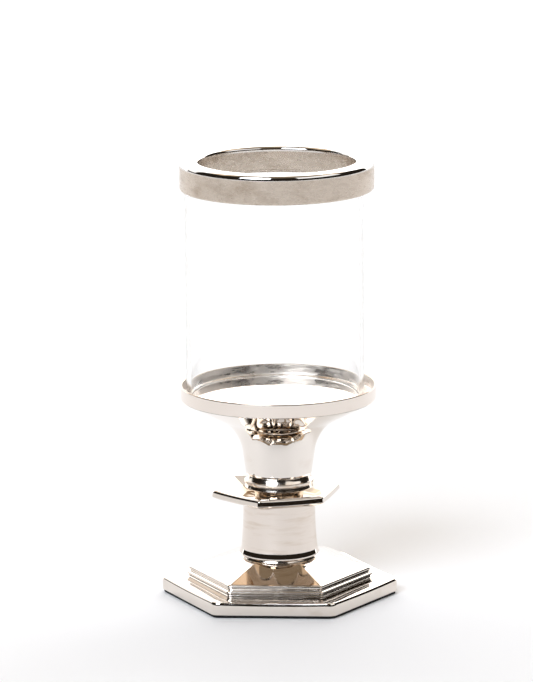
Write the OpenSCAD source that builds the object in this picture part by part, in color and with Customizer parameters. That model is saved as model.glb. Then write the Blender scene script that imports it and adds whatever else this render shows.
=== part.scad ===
// Hurricane candle lantern: a hexagonal stepped foot carries a drum, an upturned
// six-sided collar, a beaded neck and a trumpet cup. A loose glass chimney stands
// in the cup and a grooved ring caps it. A tie rod clamps the metal stack together.
// Origin: centre of the resting face. +Z up. A foot corner points along +X.

/* [Foot] */
// Width of the foot across its flats
foot_w = 140.6; // [136:0.2:148]
// Rounding of the lower tier's corners
foot_corner = 6.5; // [3:0.5:8]
// Thickness of the felt pad under the foot
felt_t = 1.9; // [0.8:0.1:2]
// Height of the lower tier's top face
tier1_z = 10.9; // [9.4:0.1:11]
// Width of the upper tier across its flats
tier2_w = 111.2; // [108:0.2:114]
// Height of the eaves, where the roof facets start
eaves_z = 18.9; // [18.8:0.1:20]
// Height of the flat land on top of the roof
land_z = 26.8; // [26:0.1:28]
// Width of the land across its flats
land_w = 54; // [54:0.5:60]

/* [Stem] */
// Radius of the drum at its top
drum_r = 24.6; // [24:0.1:25]
// Extra radius where the drum flares out to its thin lip
drum_flare = 2.5; // [1.5:0.1:2.8]
// Height of the drum's lip above the roof's land
lip_rise = 1.9; // [1.6:0.1:2.4]
// Height of the drum's upper end
drum_top = 65.6; // [64:0.1:67]

/* [Collar] */
// Corner radius of the six-sided collar
collar_r = 45.2; // [43:0.1:48]
// Height of the collar's lower outer edge
collar_edge_z = 70.1; // [69:0.1:71]
// Height of the collar's rim
collar_top = 75; // [74:0.1:76]
// Height of the collar's inner floor
collar_floor = 66.8; // [66.6:0.1:67.5]
// Turn of the collar against the foot, in degrees
collar_turn = 18.3; // [0:0.1:60]
// Offset of the collar from the stem's axis, along X
collar_shift = -2; // [-2:0.1:2]

/* [Neck] */
// Radius of the narrow foot of the neck
neck_r = 16.2; // [15.5:0.1:16.8]
// Radius of the bead
bead_r = 23.4; // [23:0.1:24.5]
// Radius of the neck's top under the cup
band_r = 21.5; // [20.5:0.1:22.3]

/* [Cup] */
// Height of the cup's lower edge
bell_z = 84.3; // [83.5:0.1:85.5]
// Outer radius of the cup's rim
rim_r = 66.4; // [65.5:0.1:68]
// Height of the cup's rim
rim_z = 146; // [145:0.1:150]
// Thickness of the upright rim
rim_t = 1.3; // [1.1:0.1:1.8]
// Height of the cup's floor
floor_z = 138.5; // [138:0.1:139]
// Wall of the cup's bell
bell_wall = 2.6; // [2:0.1:3]

/* [Glass] */
// Outer radius of the glass chimney
glass_r = 60.3; // [58:0.1:61]
// Wall of the glass chimney
glass_wall = 3; // [2.5:0.1:3.2]
// Height of the glass chimney's upper edge
glass_top = 295; // [290:0.1:296]
// Offset of the loose glass from the stem's axis, along X
glass_shift = -2.1; // [-2.1:0.1:2.1]

/* [Ring] */
// Outer radius of the top ring
ring_r = 65.5; // [65:0.1:68]
// Radius of the top ring's opening
ring_hole = 53.1; // [51:0.1:53.2]
// Height of the ring's top, which is the lantern's full height
ring_top = 300; // [299:0.1:302]
// Height of the ring's outer skirt
ring_foot = 280.5; // [279:0.1:282]

/* [Fasteners] */
// Radius of the tie rod
rod_r = 4; // [3.5:0.1:4]

/* [Hidden] */

round_fn = 128;                    // facets of a true round
arc_steps = 12;                    // straight steps in one quarter of a moulding
eps = 0.01;                        // overlap that makes a clean cut
flat = cos(30);                    // apothem of a hexagon of corner radius 1
bore_r = rod_r + 0.3;              // clearance hole for the rod
fit_gap = 0.3;                     // gap between a spigot and its tube

// foot: apothems of its flats, and heights measured down from the eaves
foot_a = foot_w / 2;
tier2_a = tier2_w / 2;             // the upper tier's wide bead
edge_round = 1.5;                  // chamfer that eases the foot's top edge
felt_inset = 1;                    // the pad stops short of the foot's edge
cove_a = tier2_a - 1.2;            // narrow point above the cove
cove_spread = 3.1;                 // how far the cove runs out onto the lower tier
groove_a = tier2_a - 2.2;          // groove between the two beads
upper_a = tier2_a - 1.4;           // the bead under the eaves
eaves_a = tier2_a - 2.8;           // where the roof facets start
foot_profile = [
  [cove_a + cove_spread, tier1_z],
  [cove_a, eaves_z - 6.7],
  [tier2_a, eaves_z - 5.6],
  [tier2_a, eaves_z - 4.7],
  [groove_a, eaves_z - 3.5],
  [upper_a, eaves_z - 2.5],
  [upper_a, eaves_z - 0.8],
  [eaves_a, eaves_z],
  [land_w / 2, land_z]];
foot_wall = 4.6;                   // wall of the casting
cavity_z = eaves_z - 4.9;          // where the cavity starts to close in
land_t = 4.4;                      // metal left under the land
foot_seat = land_z - land_t;       // underside of the land, where the washer sits

// stem
lip_t = 1.2;                       // thickness of the drum's lip
lip_r = drum_r + drum_flare;
skirt_h = 3;                       // height of the steep skirt above the lip
skirt_in = 1;                      // how far the skirt draws in
lip_z = land_z + lip_rise;         // underside of the drum
tube_r = drum_r - 2.8;             // bore of the drum
disc_r = lip_r - 0.6;              // bevelled disc between roof and drum
disc_bevel = 1;
spigot_h = 3;                      // height of the locating spigots

// collar
collar_a = collar_r * flat;        // apothem of the collar
collar_land = drum_r + abs(collar_shift);
collar_rim_w = 1.5;                // width of the eased rim
collar_well = 19;                  // apothem of the collar's flat inner floor

// neck, from the bottom: a cove, a lip with a skirt, a flat bead and a hollow cone
cove_r = 6.2;
cove_z = 68.4;
neck_lip_r = bead_r - 0.2;
neck_lip_z = 75.3;
waist_r = 22.4;                    // narrow point under the bead
bead_z = 78.3;                     // underside of the bead
bead_h = 2.3;

// bell: a steep flare, an arc and a shallow cone
bell_foot_r = 21.7;
bell_lip = 0.9;                    // step out above the bell's lower edge
flare_r = 24.7;                    // radius at the top of the steep flare
flare_z = 100.1;                   // its height
sweep_r = 31;                      // radius of the arc
steep = 82;                        // slope at the arc's lower end
shallow = 28;                      // slope at the arc's upper end
sweep_x = flare_r + sweep_r * sin(steep);
sweep_z = flare_z - sweep_r * cos(steep);
dish_t = 2;                        // thickness of the cup's floor
dish_z = floor_z - dish_t;         // underside of the dish
dish_round = 1;                    // rounding under the dish's edge
cone_top_z = sweep_z + sweep_r * cos(shallow);
cone_top_r = sweep_x - sweep_r * sin(shallow);
dish_seat_r = cone_top_r + (dish_z - cone_top_z) / tan(shallow);
ledge_r = cone_top_r - bell_wall * sin(shallow)
          + (dish_z - cone_top_z - bell_wall * cos(shallow)) / tan(shallow);
web_z = bell_z + 5.7;              // top of the bell's lower web

// glass and ring
ring_clear = 0.3;                  // least gap between the glass and the ring's groove
groove_in = glass_r - glass_wall - abs(glass_shift) - ring_clear;
groove_out = glass_r + abs(glass_shift) + ring_clear;
ring_round = 2.2;                  // rounding of the ring's edges
skirt_gap = 3.1;                   // the inner skirt stops above the outer one

// fasteners
nut_r = 7.5;
nut_h = 6.5;
washer_t = 2;
foot_washer_r = 11;
bell_washer_r = 10;
lock_washer_r = 7;
rod_ends = 5;                      // how far the rod stands past each nut
thread_gap = 0.05;

// points of an arc around [x, z], from angle a to angle b
function arc(x, z, r, a, b, n = arc_steps) =
  [for (i = [0 : n]) [x + r * cos(a + (b - a) * i / n), z + r * sin(a + (b - a) * i / n)]];

// a solid of revolution from [radius, height] points
module turned(points) {
  rotate_extrude($fn = round_fn) polygon(points);
}

// a six-sided frustum from corner radius r1 at height z1 to r2 at z2
module hex_frustum(r1, z1, r2, z2) {
  translate([0, 0, z1]) cylinder(r1 = r1, r2 = r2, h = z2 - z1, $fn = 6);
}

module hex_prism(r, z1, z2) {
  translate([0, 0, z1]) cylinder(r = r, h = z2 - z1, $fn = 6);
}

// outline of a hexagon with rounded corners, one corner along X
function rounded_hex(apothem, corner) =
  [for (k = [0 : 5], i = [0 : arc_steps])
    let (a = 60 * (k - 0.5 + i / arc_steps), reach = (apothem - corner) / flat)
    [reach * cos(60 * k) + corner * cos(a), reach * sin(60 * k) + corner * sin(a)]];

// a hexagonal solid through [apothem, height] points, from the bottom up
module hex_stack(points) {
  for (i = [1 : len(points) - 1])
    hex_frustum(points[i - 1][0] / flat, points[i - 1][1], points[i][0] / flat, points[i][1]);
}

module rod_bore(z1, z2, r = bore_r) {
  translate([0, 0, z1 - 1]) cylinder(r = r, h = z2 - z1 + 2, $fn = round_fn);
}

module washer(r, z, t) {
  difference() {
    translate([0, 0, z]) cylinder(r = r, h = t, $fn = round_fn);
    rod_bore(z, z + t);
  }
}

module nut(z) {
  difference() {
    hex_prism(nut_r, z, z + nut_h);
    rod_bore(z, z + nut_h, rod_r + thread_gap);
  }
}

module felt_pad() {
  color([0.08, 0.08, 0.08]) linear_extrude(felt_t)
    polygon(rounded_hex(foot_a - felt_inset, foot_corner - felt_inset));
}

module lower_tier() {
  intersection() {
    hex_stack([[foot_a, felt_t], [foot_a, tier1_z - edge_round], [foot_a - edge_round, tier1_z]]);
    translate([0, 0, felt_t]) linear_extrude(tier1_z) polygon(rounded_hex(foot_a, foot_corner));
  }
}

module foot_casting() {
  color([0.80, 0.78, 0.75]) difference() {
    union() {
      lower_tier();
      hex_stack(foot_profile);
    }
    hex_prism((foot_a - foot_wall) / flat, felt_t - 1, tier1_z - foot_wall);
    hex_prism((eaves_a - foot_wall) / flat, felt_t - 1, cavity_z + eps);
    hex_frustum((eaves_a - foot_wall) / flat, cavity_z, (land_w / 2 - foot_wall) / flat, foot_seat);
    rod_bore(foot_seat, land_z);
  }
}

module foot_washer() {
  color([0.62, 0.62, 0.64]) washer(foot_washer_r, foot_seat - washer_t, washer_t);
}

module lock_washer() {
  color([0.55, 0.55, 0.57]) washer(lock_washer_r, foot_seat - 2 * washer_t, washer_t);
}

module foot_nut() {
  color([0.65, 0.64, 0.60]) nut(foot_seat - 2 * washer_t - nut_h);
}

module tie_rod() {
  low = foot_seat - 2 * washer_t - nut_h - rod_ends;
  high = web_z + washer_t + nut_h + rod_ends;
  color([0.60, 0.60, 0.62]) translate([0, 0, low]) cylinder(r = rod_r, h = high - low, $fn = round_fn);
}

module foot_disc() {
  spigot_r = tube_r - fit_gap;
  color([0.78, 0.76, 0.73]) difference() {
    turned([[0, land_z], [disc_r, land_z], [disc_r - disc_bevel, lip_z], [spigot_r, lip_z],
            [spigot_r, lip_z + spigot_h], [0, lip_z + spigot_h]]);
    rod_bore(land_z, lip_z + spigot_h);
  }
}

// the drum's wall above its skirt; the flare fades out upwards
function drum_wall(t) =
  let (low = lip_z + lip_t + skirt_h)
  [drum_r + (drum_flare - skirt_in) * pow(1 - t, 2.3), low + (drum_top - low) * t];

module stem_drum() {
  color([0.85, 0.82, 0.79]) turned(concat(
    [[tube_r, lip_z], [lip_r, lip_z], [lip_r, lip_z + lip_t]],
    [for (i = [0 : arc_steps]) drum_wall(i / arc_steps)],
    [[tube_r, drum_top]]));
}

module collar_plate() {
  difference() {
    union() {
      hex_stack([[collar_land, drum_top], [collar_a - 8, drum_top + 1],
                 [collar_a - 4, drum_top + 2.5], [collar_a, collar_edge_z]]);
      hex_prism(collar_r, collar_edge_z - eps, collar_top - collar_rim_w);
      hex_frustum(collar_r, collar_top - collar_rim_w - eps, collar_r - collar_rim_w / flat, collar_top);
    }
    hex_frustum(collar_well / flat, collar_floor, collar_r - collar_rim_w / flat, collar_top + eps);
  }
}

module hex_collar() {
  spigot_r = tube_r - fit_gap - abs(collar_shift);
  color([0.80, 0.77, 0.73]) translate([collar_shift, 0, 0]) difference() {
    union() {
      rotate(collar_turn) collar_plate();
      translate([0, 0, drum_top - spigot_h]) cylinder(r = spigot_r, h = spigot_h + 0.5, $fn = round_fn);
    }
    rod_bore(drum_top - spigot_h, collar_floor, bore_r + abs(collar_shift));
  }
}

module neck_spool() {
  color([0.74, 0.71, 0.67]) difference() {
    turned(concat(
      [[0, collar_floor], [neck_r, collar_floor], [neck_r + 0.3, collar_floor + 0.6]],
      arc(neck_r + cove_r + 0.1, cove_z, cove_r, 174, 96),
      [[neck_lip_r, neck_lip_z], [neck_lip_r, neck_lip_z + 0.3], [waist_r, bead_z - 0.2],
       [bead_r - 0.2, bead_z], [bead_r, bead_z + 0.2], [bead_r, bead_z + bead_h - 0.5],
       [bead_r - 0.5, bead_z + bead_h], [band_r + 0.4, bell_z - 1.6], [band_r, bell_z], [0, bell_z]]));
    rod_bore(collar_floor, bell_z);
  }
}

module cup_bell() {
  color([0.82, 0.79, 0.76]) difference() {
    turned(concat(
      [[0, bell_z], [bell_foot_r, bell_z], [bell_foot_r + bell_lip, bell_z + 1.2]],
      arc(sweep_x, sweep_z, sweep_r, 90 + steep, 90 + shallow, 2 * arc_steps),
      [[dish_seat_r, dish_z], [ledge_r, dish_z]],
      arc(sweep_x, sweep_z, sweep_r + bell_wall, 90 + shallow, 90 + steep, 2 * arc_steps),
      [[bell_foot_r + bell_lip - bell_wall, web_z], [0, web_z]]));
    rod_bore(bell_z, web_z);
  }
}

module cup_dish() {
  lip = rim_t / 2;
  color([0.90, 0.88, 0.86]) turned(concat(
    [[0, dish_z]],
    arc(rim_r - dish_round, dish_z + dish_round, dish_round, -90, 0),
    arc(rim_r - lip, rim_z - lip, lip, 0, 180),
    [[rim_r - rim_t, floor_z], [0, floor_z]]));
}

module bell_washer() {
  color([0.62, 0.62, 0.64]) washer(bell_washer_r, web_z, washer_t);
}

module bell_nut() {
  color([0.65, 0.64, 0.60]) nut(web_z + washer_t);
}

module glass_chimney() {
  rim = 0.8;
  inner = glass_r - glass_wall;
  color([0.85, 0.92, 0.92, 0.3]) translate([glass_shift, 0, 0]) turned(concat(
    arc(inner + rim, floor_z + rim, rim, 180, 270, 4),
    arc(glass_r - rim, floor_z + rim, rim, 270, 360, 4),
    arc(glass_r - rim, glass_top - rim, rim, 0, 90, 4),
    arc(inner + rim, glass_top - rim, rim, 90, 180, 4)));
}

module top_ring() {
  half_in = (groove_in - ring_hole) / 2;
  half_out = (ring_r - groove_out) / 2;
  color([0.76, 0.72, 0.67]) turned(concat(
    arc(ring_r - ring_round, ring_top - ring_round, ring_round, 0, 90),
    arc(ring_hole + ring_round, ring_top - ring_round, ring_round, 90, 180),
    arc(ring_hole + half_in, ring_foot + skirt_gap + half_in, half_in, 180, 360),
    [[groove_in, glass_top], [groove_out, glass_top]],
    arc(groove_out + half_out, ring_foot + half_out, half_out, 180, 360)));
}

felt_pad();
foot_casting();
foot_nut();
lock_washer();
foot_washer();
tie_rod();
foot_disc();
stem_drum();
hex_collar();
neck_spool();
cup_bell();
bell_washer();
bell_nut();
cup_dish();
glass_chimney();
top_ring();
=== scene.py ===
"""Hurricane candle lantern: finished pieces, materials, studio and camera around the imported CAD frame."""
import math
import bpy
from mathutils import Matrix, Vector


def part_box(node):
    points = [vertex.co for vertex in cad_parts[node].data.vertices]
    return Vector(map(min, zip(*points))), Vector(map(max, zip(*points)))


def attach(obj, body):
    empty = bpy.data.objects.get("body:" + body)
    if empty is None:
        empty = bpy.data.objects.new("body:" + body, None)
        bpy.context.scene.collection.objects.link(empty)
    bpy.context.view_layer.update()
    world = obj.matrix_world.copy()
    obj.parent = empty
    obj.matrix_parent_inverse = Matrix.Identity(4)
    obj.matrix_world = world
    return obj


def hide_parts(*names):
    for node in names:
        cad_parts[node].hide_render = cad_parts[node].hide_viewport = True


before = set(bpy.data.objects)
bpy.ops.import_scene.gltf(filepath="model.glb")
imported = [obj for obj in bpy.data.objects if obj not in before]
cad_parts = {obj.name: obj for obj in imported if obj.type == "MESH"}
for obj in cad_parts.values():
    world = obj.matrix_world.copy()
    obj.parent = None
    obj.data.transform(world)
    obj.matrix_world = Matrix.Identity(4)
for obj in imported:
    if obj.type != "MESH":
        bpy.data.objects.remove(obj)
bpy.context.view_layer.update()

MM = 0.001
FLAT = math.cos(math.radians(30))      # apothem of a hexagon of corner radius 1
ROUND_STEPS = 256                      # sides of a turned piece
ARC_STEPS = 10                         # straight steps in a quarter of a moulding
ROLL_STEPS = 6                         # straight steps in each arc of a rolled edge
CORNER_STEPS = 10                      # straight steps round a hexagon's corner
SIDE_STOPS = (0.01, 0.1, 0.22, 0.36, 0.5, 0.64, 0.78, 0.9, 0.99)   # points along a hexagon's side
SUPPORT = 0.12                         # mm from a crease to the ring that holds a flat face flat

# ---------------------------------------------------------------- sizes in mm, mostly from the frame


def corners(node):
    """The lowest and highest corner of a CAD node's box."""
    lo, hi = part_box(node)
    return [c / MM for c in lo], [c / MM for c in hi]


felt_lo, felt_hi = corners("felt_pad")
foot_lo, foot_hi = corners("foot_casting")
disc_lo, disc_hi = corners("foot_disc")
drum_lo, drum_hi = corners("stem_drum")
collar_lo, collar_hi = corners("hex_collar")
neck_lo, neck_hi = corners("neck_spool")
bell_lo, bell_hi = corners("cup_bell")
dish_lo, dish_hi = corners("cup_dish")
glass_lo, glass_hi = corners("glass_chimney")
ring_lo, ring_hi = corners("top_ring")

FOOT_A = foot_hi[1]                    # apothem of the foot at the table
FOOT_CORNER = 6.5                      # rounding of the lower tier's corners
TIER1_Z = 10.9                         # top of the lower tier
LAND_A, LAND_Z = 27.0, foot_hi[2]      # flat land on top of the roof
COLLAR_TURN = math.radians(18.3)       # turn of the collar against the foot
COLLAR_A = 45.2 * FLAT                 # apothem of the collar at its outer edge
COLLAR_EDGE_Z = 70.1                   # lower outer edge of the collar
COLLAR_FLOOR = neck_lo[2]              # inner floor of the collar
COLLAR_X = -2.0                        # the collar stands this far off the axis
SEAT_Z = drum_hi[2]                    # where the collar sits on the drum
TUBE_R = 21.8                          # bore of the drum
BORE = 4.3                             # clearance hole for the tie rod
DISH_EDGE = dish_hi[2]                 # top of the cup's rim
LIP = 1.3                              # thickness of that rim
DISH_BORE = dish_hi[0] - LIP           # inside of the cup's rim
RING_TOP = ring_hi[2]

# ---------------------------------------------------------------- outlines and meshes


def sine(degrees):
    return math.sin(math.radians(degrees))


def cosine(degrees):
    return math.cos(math.radians(degrees))


def arc(x, z, r, start, end, steps=ARC_STEPS):
    """Points of an arc around (x, z), from start to end degrees."""
    turn = [start + (end - start) * i / steps for i in range(steps + 1)]
    return [(x + r * cosine(t), z + r * sine(t)) for t in turn]


def rolled(a, top, arcs):
    """A wall at distance a that rolls over to level at height top, through arcs of (radius, end angle)."""
    starts = [0] + [end for _, end in arcs]
    turns = [(r, start, end) for (r, end), start in zip(arcs, starts)]
    z = top - sum(r * (sine(end) - sine(start)) for r, start, end in turns)
    points = []
    for r, start, end in turns:
        points = points[:-1] + arc(a - r * cosine(start), z - r * sine(start), r, start, end, ROLL_STEPS)
        a, z = points[-1]
    return points


def held_flat(points):
    """Adds a point close to each end of every long straight stretch, so that its face shades flat."""
    out = []
    for a, b in zip(points, points[1:] + points[:1]):
        out.append(a)
        length = math.dist(a, b)
        if length > 6 * SUPPORT:
            for t in (SUPPORT / length, 1 - SUPPORT / length):
                out.append(tuple(p + (q - p) * t for p, q in zip(a, b)))
    return out


def stitch(rings):
    """Quads between neighbouring rings of equal length, the last ring joined to the first."""
    count, around = len(rings), len(rings[0])
    faces = []
    for i in range(count):
        j = (i + 1) % count
        for k in range(around):
            m = (k + 1) % around
            faces.append((i * around + k, i * around + m, j * around + m, j * around + k))
    return [v for ring in rings for v in ring], faces


def circle(radius, z, centre, count, start=0.0):
    """A level ring of points, the first one at start radians."""
    angles = [start + 2 * math.pi * k / count for k in range(count)]
    return [(centre[0] + radius * math.cos(t), centre[1] + radius * math.sin(t), z) for t in angles]


def turned(outline, centre=(0, 0)):
    """A closed (radius, height) outline, given anticlockwise, turned about a vertical axis."""
    return stitch([circle(r, z, centre, ROUND_STEPS) for r, z in held_flat(outline)])


def hexagon(apothem, z, corner, dip, turn, centre):
    """A ring on a hexagon whose corners are rounded and whose sides dip in the middle.

    A corner radius as large as the apothem makes it a circle."""
    if corner >= apothem:
        count = 6 * (CORNER_STEPS + 1 + len(SIDE_STOPS))
        return circle(apothem, z, centre, count, turn - math.radians(30))
    reach = (apothem - corner) / FLAT
    points = []
    for i in range(6):
        middle = turn + math.radians(60 * i)
        cx, cy = centre[0] + reach * math.cos(middle), centre[1] + reach * math.sin(middle)
        for k in range(CORNER_STEPS + 1):
            t = middle + math.radians(60) * (k / CORNER_STEPS - 0.5)
            points.append((cx + corner * math.cos(t), cy + corner * math.sin(t), z))
        x, y, _ = points[-1]
        facing = middle + math.radians(30)
        for u in SIDE_STOPS:
            run, sag = reach * u, 4 * dip * u * (1 - u)
            points.append((x - run * math.sin(facing), y + run * math.cos(facing), z - sag))
    return points


def lofted(outline, turn=0.0, centre=(0, 0)):
    """A closed outline of (apothem, height, corner radius, dip) carried round a hexagon."""
    return stitch([hexagon(*point, turn, centre) for point in held_flat(outline)])


def cornered(points, corner, dip=0.0):
    """Gives every (apothem, height) point the same corner radius and dip."""
    return [(a, z, corner, dip) for a, z in points]


def circular(points):
    """(radius, height) points as circles within a lofted outline."""
    return [(r, z, r, 0.0) for r, z in points]


def new_piece(name, verts, faces, body, material, node, slot):
    """Makes a smooth mesh from millimetre points, rides it on its body and lets it stand for a CAD node."""
    mesh = bpy.data.meshes.new(name)
    mesh.from_pydata([Vector(v) * MM for v in verts], [], faces)
    mesh.validate()
    for polygon in mesh.polygons:
        polygon.use_smooth = True
    piece = bpy.data.objects.new(name, mesh)
    bpy.context.scene.collection.objects.link(piece)
    mesh.materials.append(material)
    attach(piece, body)
    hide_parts(node)


# ---------------------------------------------------------------- shader nodes


class Tree:
    """A node tree, with a short way to add each kind of node that the looks are made of."""

    def __init__(self, tree):
        self.nodes, self.links = tree.nodes, tree.links

    def feed(self, node, inputs):
        """Links or sets a node's inputs, given by name or number."""
        for name, value in inputs.items():
            if isinstance(value, bpy.types.NodeSocket):
                self.links.new(value, node.inputs[name])
            else:
                node.inputs[name].default_value = value

    def add(self, kind, inputs=None, **settings):
        """A new node with its settings made and its inputs fed."""
        node = self.nodes.new(kind)
        for name, value in settings.items():
            setattr(node, name, value)
        self.feed(node, inputs or {})
        return node

    def place(self):
        """Where a point is in the object's own metres."""
        return self.add("ShaderNodeTexCoord").outputs["Object"]

    def along(self, axis):
        """X, Y or Z of a point, in the object's own metres."""
        return self.add("ShaderNodeSeparateXYZ", {"Vector": self.place()}).outputs[axis]

    def from_axis(self):
        """Distance from the lantern's axis, in metres."""
        level = self.add("ShaderNodeVectorMath", {0: self.place(), 1: (1, 1, 0)}, operation="MULTIPLY")
        length = self.add("ShaderNodeVectorMath", {0: level.outputs["Vector"]}, operation="LENGTH")
        return length.outputs["Value"]

    def noise(self, scale, detail=3.0, stretch=(1, 1, 1), roughness=0.5):
        """Noise in the object's own metres, squeezed by stretch along each axis."""
        squeeze = self.add("ShaderNodeMapping", {"Vector": self.place(), "Scale": stretch})
        inputs = {"Vector": squeeze.outputs["Vector"], "Scale": scale, "Detail": detail,
                  "Roughness": roughness}
        return self.add("ShaderNodeTexNoise", inputs).outputs["Fac"]

    def ramp(self, source, *stops):
        """A colour ramp over source, between two stops of (position, colour)."""
        node = self.add("ShaderNodeValToRGB", {"Fac": source})
        for element, (position, colour) in zip(node.color_ramp.elements, stops):
            element.position = position
            element.color = (*colour, 1)
        return node.outputs["Color"]

    def span(self, source, low, high, to_low=0, to_high=1, shape="LINEAR"):
        """Maps source from low..high to to_low..to_high, clamped."""
        inputs = {"Value": source, "From Min": low, "From Max": high, "To Min": to_low, "To Max": to_high}
        return self.add("ShaderNodeMapRange", inputs, interpolation_type=shape).outputs["Result"]

    def calculate(self, operation, *values):
        """One math node."""
        return self.add("ShaderNodeMath", dict(enumerate(values)), operation=operation).outputs[0]

    def blend(self, factor, low, high):
        """From one colour to another."""
        return self.add("ShaderNodeMix", {"Factor": factor, 6: low, 7: high}, data_type="RGBA").outputs[2]

    def blend_value(self, factor, low, high):
        """From one number to another."""
        return self.add("ShaderNodeMix", {"Factor": factor, "A": low, "B": high}).outputs[0]

    def bump(self, relief, depth, below=None):
        """Relief of a depth in mm, laid over the relief below."""
        inputs = {"Strength": 1.0, "Distance": depth * MM, "Height": relief}
        if below is not None:
            inputs["Normal"] = below
        return self.add("ShaderNodeBump", inputs).outputs["Normal"]


class Look(Tree):
    """A new material with its main shader."""

    def __init__(self, name):
        self.material = bpy.data.materials.new(name)
        self.material.use_nodes = True
        super().__init__(self.material.node_tree)
        self.shader = self.nodes["Principled BSDF"]


# ---------------------------------------------------------------- materials

SMUDGES, MOTTLE, STREAKS, WAVES = 38, 160, 45, 26   # about how many there are to the metre
TURNING = (3, 3, 1800)                              # the stretch that draws noise out into rings
SMUDGE_FADE = 0.22                                  # how far past its start a smudge is at its fullest


def satin_inside(look, bore, floor, least, most):
    """Added roughness, from least to most in long streaks, inside a bore and above a floor, both in mm."""
    wall = look.span(look.from_axis(), (bore + 0.2) * MM, (bore + 0.05) * MM)
    raised = look.span(look.along("Z"), (floor + 0.1) * MM, (floor + 0.6) * MM)
    streaks = look.span(look.noise(STREAKS, 4.0, (1, 1, 5)), 0.4, 0.6, least, most)
    return look.calculate("MULTIPLY", look.calculate("MULTIPLY", wall, raised), streaks)


def plated_metal(name, clean, dull, gloss, smudge_from, streak=1.6, marks=0.0, wave=0.0, above=None,
                 inside=None):
    """Nickel plate.

    clean, dull: its tones. The dull one comes in soft smudges, flattened by streak, where the noise passes
    smudge_from.
    gloss: its least and most roughness.
    marks, wave: depth in mm of the fine turning marks and of the waviness of hand polishing; one may be 0.
    above: (from mm, to mm, tone, gloss), what the plate turns into with height.
    inside: (bore, floor, least, most) for satin_inside."""
    look = Look(name)
    smudge = look.noise(SMUDGES, 5.0, (1, 1, streak), 0.6)
    tone = look.ramp(smudge, (smudge_from, clean), (smudge_from + SMUDGE_FADE, dull))
    rough = look.span(look.noise(MOTTLE, 4.0, (1, 1, 3)), 0.35, 0.75, *gloss)
    if above:
        low, high, upper_tone, upper_gloss = above
        up = look.span(look.along("Z"), low * MM, high * MM)
        tone = look.blend(up, tone, (*upper_tone, 1))
        rough = look.blend_value(up, rough, upper_gloss)
    if inside:
        rough = look.calculate("ADD", rough, satin_inside(look, *inside))
    relief = None
    if marks:
        relief = look.bump(look.noise(1, 3.0, TURNING), marks)
    if wave:
        relief = look.bump(look.noise(WAVES, 1.0), wave, relief)
    look.feed(look.shader, {"Metallic": 1.0, "Base Color": tone, "Roughness": rough, "Normal": relief})
    return look.material


def clear_glass():
    """Clear soda glass that lets light through to what stands behind it, with a faint ripple."""
    look = Look("clear_glass")
    look.feed(look.shader, {"Base Color": (0.995, 0.998, 0.997, 1), "Roughness": 0.0, "IOR": 1.3,
                            "Transmission Weight": 1.0,
                            "Normal": look.bump(look.noise(14, 2.0, (1, 1, 0.3)), 0.02)})
    through = look.add("ShaderNodeBsdfTransparent", {"Color": (0.97, 0.975, 0.972, 1)})
    rays = look.add("ShaderNodeLightPath")
    mix = look.add("ShaderNodeMixShader", {"Fac": rays.outputs["Is Shadow Ray"],
                                           1: look.shader.outputs["BSDF"], 2: through.outputs["BSDF"]})
    look.feed(look.nodes["Material Output"], {"Surface": mix.outputs["Shader"]})
    return look.material


def felt():
    """Short black wool felt."""
    look = Look("felt")
    fuzz = look.noise(1400, 6.0, (1, 1, 1), 0.7)
    tone = look.ramp(fuzz, (0.3, (0.002, 0.002, 0.002)), (0.8, (0.012, 0.011, 0.010)))
    look.feed(look.shader, {"Base Color": tone, "Roughness": look.span(fuzz, 0, 1, 0.85, 1.0),
                            "Sheen Weight": 0.04, "Normal": look.bump(fuzz, 0.2)})
    return look.material


def plain_steel():
    """Dull grey fasteners."""
    look = Look("plain_steel")
    grain = look.noise(600, 4.0, (1, 1, 4))
    tone = look.ramp(grain, (0.3, (0.42, 0.42, 0.43)), (0.7, (0.62, 0.62, 0.63)))
    look.feed(look.shader, {"Metallic": 1.0, "Base Color": tone,
                            "Roughness": look.span(grain, 0.2, 0.8, 0.25, 0.45),
                            "Normal": look.bump(grain, 0.03)})
    return look.material


foot_metal = plated_metal(
    "plated_foot", clean=(0.79, 0.73, 0.67), dull=(0.68, 0.60, 0.52), gloss=(0.03, 0.09),
    smudge_from=0.60, wave=0.008)
# The collar's dark brown tones below its outer edge are painted shade on its underside; above the edge it
# turns to the plate's own lighter tone.
collar_metal = plated_metal(
    "plated_collar", clean=(0.46, 0.37, 0.28), dull=(0.34, 0.26, 0.19), gloss=(0.04, 0.10),
    smudge_from=0.52, wave=0.02,
    above=(COLLAR_EDGE_Z - 1.0, COLLAR_EDGE_Z - 0.1, (0.76, 0.70, 0.64), 0.04))
drum_metal = plated_metal(
    "plated_drum", clean=(0.80, 0.73, 0.67), dull=(0.70, 0.61, 0.53), gloss=(0.02, 0.06),
    smudge_from=0.50, streak=8, marks=0.001)
neck_metal = plated_metal(
    "plated_neck", clean=(0.78, 0.70, 0.62), dull=(0.60, 0.49, 0.38), gloss=(0.10, 0.18),
    smudge_from=0.56, marks=0.001)
cup_metal = plated_metal(
    "plated_cup", clean=(0.87, 0.82, 0.77), dull=(0.80, 0.73, 0.67), gloss=(0.02, 0.07),
    smudge_from=0.60, marks=0.001)
dish_metal = plated_metal(
    "plated_dish", clean=(0.86, 0.79, 0.73), dull=(0.80, 0.72, 0.66), gloss=(0.03, 0.09),
    smudge_from=0.60, marks=0.004, wave=0.01,
    above=(DISH_EDGE - 0.5, DISH_EDGE - 0.3, (0.36, 0.28, 0.21), 0.22),
    inside=(DISH_BORE, glass_lo[2], 0.16, 0.50))
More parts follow.
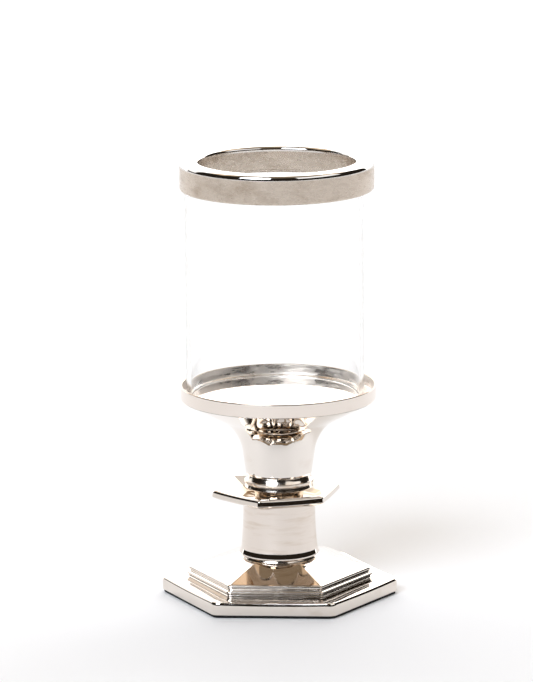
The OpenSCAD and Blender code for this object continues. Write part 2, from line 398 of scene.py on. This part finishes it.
# The ring's wall tones are darker than its top: partly tarnish, partly painted shade that stands in for the
# dimmer stretch of table far in front that the wall reflects.
ring_metal = plated_metal(
    "plated_ring", clean=(0.63, 0.55, 0.47), dull=(0.44, 0.36, 0.285), gloss=(0.22, 0.34),
    smudge_from=0.50, marks=0.002,
    above=(RING_TOP - 3.7, RING_TOP - 2.8, (0.77, 0.74, 0.71), 0.05))
glass = clear_glass()
felt_cloth = felt()
steel = plain_steel()

# ---------------------------------------------------------------- pieces


def make_felt():
    """A sheet with a soft lower edge, closed round a tiny bore on the axis."""
    edge, top, corner, soft, bore = felt_hi[1], felt_hi[2], FOOT_CORNER - 1, 0.5, 0.2
    outline = (circular([(bore, 0.0)]) + cornered(arc(edge - soft, soft, soft, -90, 0, 4), corner)
               + cornered([(edge - 0.1, top)], corner) + circular([(bore, top)]))
    new_piece("felt_sheet", *lofted(outline), "stand", felt_cloth, "felt_pad", "felt")


def foot_outline():
    """From the resting edge out and up over both tiers and the roof, then down the bore and back inside."""
    low, wall, sag, heel = foot_lo[2], 4.6, 0.5, 0.6
    lower_tier = (cornered(arc(FOOT_A - heel, low + heel, heel, -90, 0, 5), FOOT_CORNER)
                  + cornered(rolled(FOOT_A, TIER1_Z, [(20, 7), (4, 32), (0.7, 90)]), FOOT_CORNER, sag))
    cove = [(57.4, TIER1_Z), (56.5, 10.95), (55.7, 11.1), (55.05, 11.4), (54.6, 11.8), (54.4, 12.3)]
    wide_bead = [(54.8, 12.7), (55.3, 13.15), (55.55, 13.65), (55.55, 14.1), (55.2, 14.55), (54.4, 15.0)]
    groove = [(53.6, 15.25), (53.4, 15.5)]
    upper_bead = [(53.65, 15.85), (54.0, 16.3), (54.2, 16.9), (54.2, 17.5), (54.05, 18.05), (53.65, 18.5)]
    eaves = [(53.2, 18.75), (52.8, 18.9)]
    roof = [(LAND_A + 0.3, LAND_Z - 0.09), (LAND_A, LAND_Z)]
    seat = LAND_Z - wall
    inside = [(LAND_A - wall, seat), (48.2, 14.0), (48.2, TIER1_Z - wall),
              (FOOT_A - wall, TIER1_Z - wall), (FOOT_A - wall, low)]
    return (lower_tier + cornered(cove + wide_bead + groove + upper_bead, 3.0)
            + cornered(eaves, 2.0) + cornered(roof, 0.6) + circular([(BORE, LAND_Z), (BORE, seat)])
            + cornered(inside, 2.0))


def make_foot():
    new_piece("foot", *lofted(foot_outline()), "stand", foot_metal, "foot_casting", "plated_foot")


def make_disc():
    """A bevelled disc with a low spigot that centres the drum."""
    edge, bevel, top, spigot = disc_hi[0], 1.0, drum_lo[2], TUBE_R - 0.3
    outline = [(BORE, LAND_Z), (edge - 0.1, LAND_Z), (edge, LAND_Z + 0.15),
               (edge - bevel * 0.35, LAND_Z + 1.0), (edge - bevel, top), (spigot, top),
               (spigot, disc_hi[2]), (BORE, disc_hi[2])]
    new_piece("foot_ring", *turned(outline), "stand", neck_metal, "foot_disc", "plated_stem")


def make_drum():
    """From the bottom: an upright thin lip, a steep skirt, then a wall whose flare fades out upwards."""
    low, high, lip, top_r = drum_lo[2], drum_hi[2], drum_hi[0], 24.6
    skirt_r, skirt_z, law, steps, soft = 26.1, low + 4.2, 2.3, 28, 0.25
    wall = [(top_r + (skirt_r - top_r) * (1 - i / steps) ** law, skirt_z + (high - skirt_z) * i / steps)
            for i in range(1, steps + 1)]
    outline = ([(TUBE_R, low)] + arc(lip - soft, low + soft, soft, -90, 0, 4)
               + [(lip, low + 1.0), (lip - 0.05, low + 1.25), (skirt_r + 0.04, skirt_z - 0.12)]
               + wall + [(TUBE_R, high)])
    new_piece("drum", *turned(outline), "stand", drum_metal, "stem_drum", "plated_stem")


def make_collar():
    """A sloping underside, a wall that leans in a little, a rounded rim and a sloping inside."""
    top, land, well, spigot, bore = collar_hi[2], 26.6, 19.0, 19.5, BORE + 2
    lean, rim, sag, fillet = 8, 2.2, 0.45, 4.2
    draft = math.tan(math.radians(lean)) * (top - rim - COLLAR_EDGE_Z - 0.2)
    rim_a = COLLAR_A - draft - rim * cosine(lean)
    outline = (
        circular([(bore, collar_lo[2]), (spigot, collar_lo[2]), (spigot, SEAT_Z)])
        + cornered([(land, SEAT_Z)], land * 0.6)
        + cornered([(29.0, SEAT_Z + 0.4), (31.2, SEAT_Z + 1.0), (33.2, SEAT_Z + 1.7)], 2.5)
        + cornered([(35.2, SEAT_Z + 2.55), (37.2, SEAT_Z + 3.5), (38.5, SEAT_Z + 4.2)], 2.5, sag / 2)
        + cornered([(COLLAR_A - 0.12, COLLAR_EDGE_Z + 0.15), (COLLAR_A, COLLAR_EDGE_Z + 0.5)], 2.5, sag)
        + cornered(arc(rim_a, top - rim, rim, lean, 112), 2.5, sag)
        + cornered(arc(well + 4, COLLAR_FLOOR + fillet, fillet, 294, 270, 6), 2.0)
        + circular([(bore, COLLAR_FLOOR)]))
    mesh = lofted(outline, COLLAR_TURN, (COLLAR_X, 0))
    new_piece("collar", *mesh, "stand", collar_metal, "hex_collar", "plated_foot")


def make_neck():
    """A cove that opens into a skirt, a square bead and a hollow under the cup."""
    low, high, foot_r = neck_lo[2], neck_hi[2], 16.2
    cove = arc(foot_r + 6.3, 68.4, 6.2, 174, 96)
    skirt = [(22.6, 74.95), (23.1, 75.25), (23.2, 75.4), (23.15, 75.6), (22.8, 76.6), (22.45, 77.7),
             (22.4, 78.0)]
    bead = [(22.6, 78.2), (23.2, 78.3), (neck_hi[0], 78.5), (neck_hi[0], 80.1), (23.3, 80.4), (22.95, 80.6)]
    hollow = [(22.5, 81.4), (22.1, 82.2), (21.8, 82.95), (21.6, 83.6), (21.5, high)]
    outline = ([(BORE, low), (foot_r, low), (foot_r + 0.3, low + 0.6)]
               + cove + skirt + bead + hollow + [(BORE, high)])
    new_piece("neck", *turned(outline), "stand", neck_metal, "neck_spool", "plated_stem")


def make_bell():
    """A steep flare, an arc and a shallow cone that ends under the dish."""
    low, edge, seat = bell_lo[2], bell_hi[0] - 0.05, bell_hi[2]
    foot_r, flare_r, flare_z = 21.7, 24.7, 100.1
    sweep, steep, shallow, wall, web = 31.0, 82, 28, 2.6, 5.7
    x = flare_r + sweep * sine(steep)
    z = flare_z - sweep * cosine(steep)
    inner_x = x - (sweep + wall) * sine(shallow)
    inner_z = z + (sweep + wall) * cosine(shallow)
    ledge = inner_x + (seat - inner_z) / math.tan(math.radians(shallow))
    outline = (
        [(BORE, low), (foot_r, low), (foot_r + 0.5, low + 0.3), (foot_r + 0.9, low + 1.2)]
        + arc(x, z, sweep, 90 + steep, 90 + shallow, 40)
        + [(edge, seat - 0.05), (edge - 0.1, seat), (ledge, seat)]
        + arc(x, z, sweep + wall, 90 + shallow, 90 + steep, 30)
        + [(foot_r + 0.9 - wall, low + web), (BORE, low + web)])
    new_piece("bell", *turned(outline), "stand", cup_metal, "cup_bell", "plated_cup")


def make_dish():
    """The cup's floor with its thin upright rim, closed round a tiny bore on the axis."""
    low, rim, floor, bore = dish_lo[2], dish_hi[0], glass_lo[2], 0.05
    under, fillet = 1.0, 0.8
    outline = (
        [(bore, low)] + arc(rim - under, low + under, under, -90, 0)
        + arc(rim - LIP / 2, DISH_EDGE - LIP / 2, LIP / 2, 0, 180)
        + arc(DISH_BORE - fillet, floor + fillet, fillet, 360, 270, 6) + [(bore, floor)])
    new_piece("dish", *turned(outline), "stand", dish_metal, "cup_dish", "plated_cup")


def make_glass():
    """A straight tube with both ends fire-polished round."""
    shift = (glass_lo[0] + glass_hi[0]) / 2
    outer = (glass_hi[0] - glass_lo[0]) / 2
    inner, rim = outer - 3.0, 0.9
    low, high = glass_lo[2] + rim, glass_hi[2] - rim
    outline = (arc(outer - rim, low, rim, -90, 0, 6) + arc(outer - rim, high, rim, 0, 90, 6)
               + arc(inner + rim, high, rim, 90, 180, 6) + arc(inner + rim, low, rim, 180, 270, 6))
    mesh = turned(outline, (shift, 0))
    new_piece("chimney_glass", *mesh, "chimney", glass, "glass_chimney", "clear_glass")


def make_ring():
    """A heavy ring with a rolled outer edge, and a groove below that takes the glass."""
    outer, foot = ring_hi[0], ring_lo[2]
    hole, groove_in, groove_out, skirt_gap, edge = 53.1, 54.9, 62.7, 3.1, 2.2
    half_in, half_out = (groove_in - hole) / 2, (outer - groove_out) / 2
    outline = (
        rolled(outer, RING_TOP, [(4.5, 35), (1.6, 90)]) + arc(hole + edge, RING_TOP - edge, edge, 90, 180)
        + arc(hole + half_in, foot + skirt_gap + half_in, half_in, 180, 360)
        + [(groove_in, glass_hi[2]), (groove_out, glass_hi[2])]
        + arc(groove_out + half_out, foot + half_out, half_out, 180, 360))
    new_piece("cap_ring", *turned(outline), "cap", ring_metal, "top_ring", "plated_ring")


def dress_fasteners():
    """The hidden fasteners keep their CAD meshes and only get a material."""
    for name in ("foot_nut", "lock_washer", "foot_washer", "tie_rod", "bell_washer", "bell_nut"):
        for material_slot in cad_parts[name].material_slots:
            material_slot.material = steel


make_felt()
make_foot()
make_disc()
make_drum()
make_collar()
make_neck()
make_bell()
make_dish()
make_glass()
make_ring()
dress_fasteners()

# ---------------------------------------------------------------- studio

CAMERA_TURN = math.radians(3.4)        # the camera stands this far round from the foot's front face
CAMERA_BACK, CAMERA_UP = 3.239, 0.861  # metres from the stem and above the table
CAMERA_PITCH = math.radians(11.947)    # how far it looks down
CAMERA_YAW = math.radians(-0.137)      # how far it looks past the stem
CAMERA_ROLL = math.radians(-0.425)
CAMERA_LENS, CAMERA_SENSOR = 258.2, 36.0
TABLE = 12.0                           # half the side of the tabletop, in metres
ROOM = (0.020, 0.016, 0.012)           # what stands behind all the patches of light
PAPER = (1.0, 1.0, 1.0)
FLASH = (0.91, 1.0, 1.12)
CEILING = (0.83, 0.66, 0.48)
BROWN = (0.30, 0.24, 0.17)


def make_camera():
    """A long lens that looks down on the lantern from the front."""
    data = bpy.data.cameras.new("camera")
    data.lens, data.sensor_width = CAMERA_LENS, CAMERA_SENSOR
    data.clip_start, data.clip_end = 0.05, 100
    camera = bpy.data.objects.new("camera", data)
    bpy.context.scene.collection.objects.link(camera)
    turn = Matrix.Rotation(CAMERA_TURN - CAMERA_YAW, 4, "Z")
    tilt = Matrix.Rotation(math.pi / 2 - CAMERA_PITCH, 4, "X") @ Matrix.Rotation(CAMERA_ROLL, 4, "Z")
    stand = Matrix.Rotation(CAMERA_TURN, 4, "Z") @ Vector((0, -CAMERA_BACK, CAMERA_UP))
    camera.matrix_world = Matrix.Translation(stand) @ turn @ tilt
    bpy.context.scene.camera = camera


def make_floor():
    """A large pale tabletop, painted paler towards the back: painted light, as if more light falls on the
    back.
    """
    mesh = bpy.data.meshes.new("floor")
    rim = [(-TABLE, -TABLE, 0), (TABLE, -TABLE, 0), (TABLE, TABLE, 0), (-TABLE, TABLE, 0)]
    mesh.from_pydata(rim, [], [(0, 1, 2, 3)])
    floor = bpy.data.objects.new("floor", mesh)
    bpy.context.scene.collection.objects.link(floor)
    look = Look("table")
    # Painted light: the tabletop's colour gets paler towards the back, where more light falls.
    back = look.span(look.along("Y"), -0.2, 0.9)
    tone = look.ramp(back, (0, (0.885, 0.885, 0.895)), (1, (0.96, 0.96, 0.97)))
    look.feed(look.shader, {"Base Color": tone, "Roughness": 0.7, "Specular IOR Level": 0.15})
    mesh.materials.append(look.material)


class Sky(Tree):
    """World nodes that lay soft-edged bright patches over a dark room, each over the ones before it."""

    def __init__(self):
        world = bpy.data.worlds.new("studio")
        bpy.context.scene.world = world
        world.use_nodes = True
        super().__init__(world.node_tree)
        way = self.add("ShaderNodeTexCoord").outputs["Generated"]
        x, y, z = self.add("ShaderNodeSeparateXYZ", {"Vector": way}).outputs
        self.height = self.calculate("ARCSINE", z)
        self.bearing = self.calculate("ARCTAN2", x, y)
        self.total = (*ROOM, 1)

    def window(self, value, low, high, soft):
        """1 between low and high degrees, falling to 0 over soft degrees outside."""
        edges = [self.span(value, math.radians(outside), math.radians(inside), shape="SMOOTHSTEP")
                 for outside, inside in ((low - soft, low), (high + soft, high))]
        return self.calculate("MULTIPLY", *edges)

    def turned_round(self, degrees):
        """Bearing from the given one, in radians from -pi to pi; bearings run clockwise from +Y."""
        turned_away = self.calculate("SUBTRACT", self.bearing, math.radians(degrees))
        return self.calculate("WRAP", turned_away, math.pi, -math.pi)

    def lay(self, mask, colour, strength):
        """Lays a colour over what is there, where the mask is 1."""
        self.total = self.blend(mask, self.total, (*[c * strength for c in colour], 1))

    def patch(self, bearing, width, low, high, colour, strength, soft):
        """A patch width degrees wide around a bearing, from low to high degrees above the table."""
        across = self.window(self.turned_round(bearing), -width / 2, width / 2, soft)
        up = self.window(self.height, low, high, soft)
        self.lay(self.calculate("MULTIPLY", across, up), colour, strength)

    def cap(self, low, colour, strength, soft):
        """Everything from low degrees up to overhead."""
        self.lay(self.window(self.height, low, 100, soft), colour, strength)

    def done(self):
        self.feed(self.nodes["Background"], {"Color": self.total})


def make_sky():
    """Bearings run clockwise from +Y seen from above. front is the camera's; larger ones are to its left."""
    front = 180 - math.degrees(CAMERA_TURN)
    sky = Sky()
    sky.cap(50, BROWN, 1.0, 4)                                # the dim upper room
    sky.patch(front + 180, 200, 44, 60, CEILING, 1.0, 5)      # the ceiling over the backdrop
    sky.patch(front + 180, 96, -90, 46.5, PAPER, 2.9, 2)      # the white backdrop
    sky.patch(front + 28.1, 35.8, 28, 46, FLASH, 10.5, 2.5)   # the key light
    sky.patch(front - 57, 58, 28, 46, PAPER, 1.3, 2.6)        # the fill on the right
    sky.patch(front + 127, 26, 9, 46, PAPER, 1.4, 3)          # the edge light behind on the left
    sky.done()


make_camera()
make_floor()
make_sky()
bpy.context.scene.view_settings.view_transform = "Standard"
